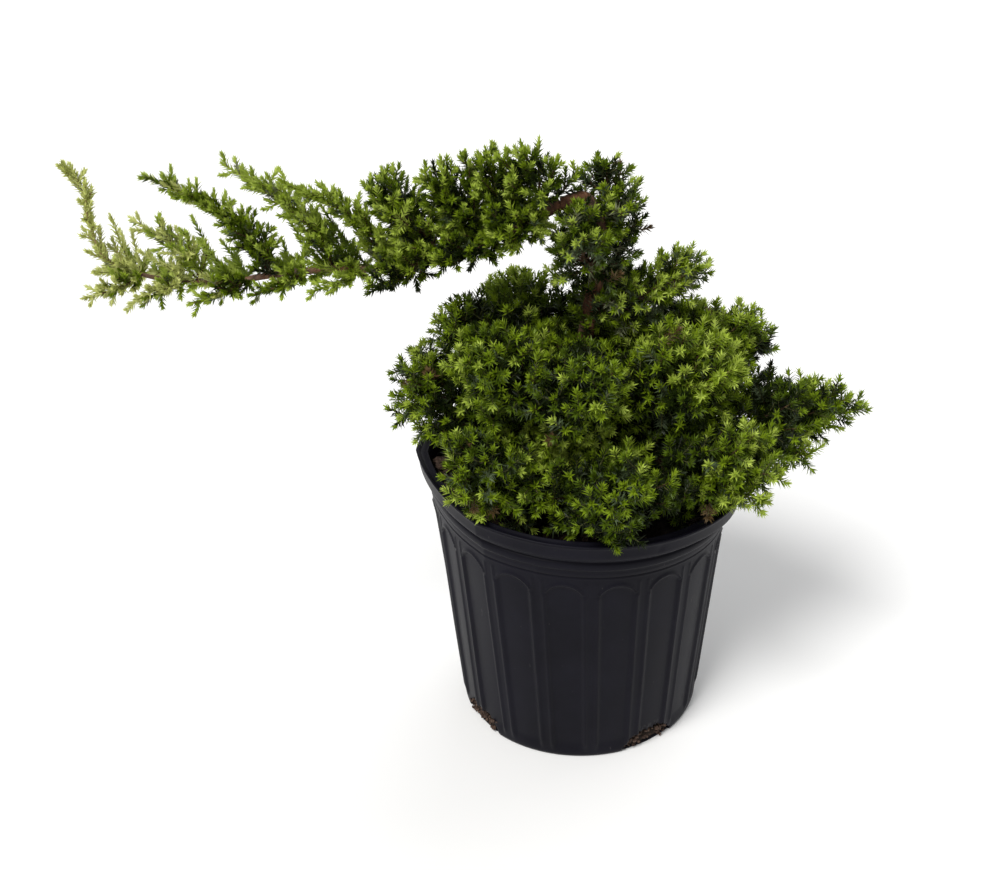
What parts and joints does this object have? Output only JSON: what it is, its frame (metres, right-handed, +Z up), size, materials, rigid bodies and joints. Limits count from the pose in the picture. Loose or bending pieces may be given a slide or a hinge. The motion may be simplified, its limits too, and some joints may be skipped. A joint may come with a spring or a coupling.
{
  "type": "potted juniper bonsai",
  "caption": "Garden juniper trained as a half-cascade bonsai: dense low mound of needles, bent trunk and one long leader, in a fluted plastic pot.",
  "frame": {"origin": "centre of the pot's flat underside, on the surface that it stands on", "axes": "+Z up; the long leader reaches out along -X; the pictured side faces -Y"},
  "size_m": [0.5294, 0.2543, 0.4294],
  "materials": {
    "pot": "satin near-black moulded plastic with light scuffs",
    "soil": "damp dark potting mix with chips of bark",
    "bark": "thin flaking red-brown bark, grey on the oldest wood",
    "needles": "sharp green needles, bright yellow-green at the shoot tips",
    "pale_needles": "pale straw and yellow-green needles"
  },
  "bodies": {
    "root": {"pot": "pot", "soil": "soil", "trunk": "bark", "leader_inner": "bark", "leader_outer": "bark", "bough_front": "bark", "bough_front_left": "bark", "bough_left": "bark", "bough_back_left": "bark", "bough_back": "bark", "bough_back_right": "bark", "bough_right": "bark", "bough_front_right": "bark", "mound_front": "needles", "mound_front_left": "needles", "mound_left": "needles", "mound_back_left": "needles", "mound_back": "needles", "mound_back_right": "needles", "mound_right": "needles", "mound_front_right": "needles", "upper_front": "needles", "upper_front_left": "needles", "upper_front_right": "needles", "upper_right": "needles", "upper_back_right": "needles", "upper_back_left": "needles", "upper_left": "needles", "column_right": "needles", "column_back": "needles", "column_front": "needles", "column_top": "needles", "plume_1": "needles", "plume_2": "needles", "plume_3": "needles", "plume_4": "needles", "plume_5": "needles", "plume_6": "needles", "plume_7": "needles", "plume_8": "needles", "side_front_1": "needles", "side_front_2": "needles", "side_front_3": "needles", "side_front_4": "needles", "side_front_5": "needles", "side_front_6": "needles", "side_front_7": "needles", "side_front_8": "needles", "side_back_1": "needles", "side_back_2": "needles", "side_back_3": "needles", "side_back_4": "needles", "side_back_5": "needles", "side_back_6": "needles", "side_back_7": "needles", "side_back_8": "needles", "leader_tip": "pale_needles"}
  },
  "joints": []
}
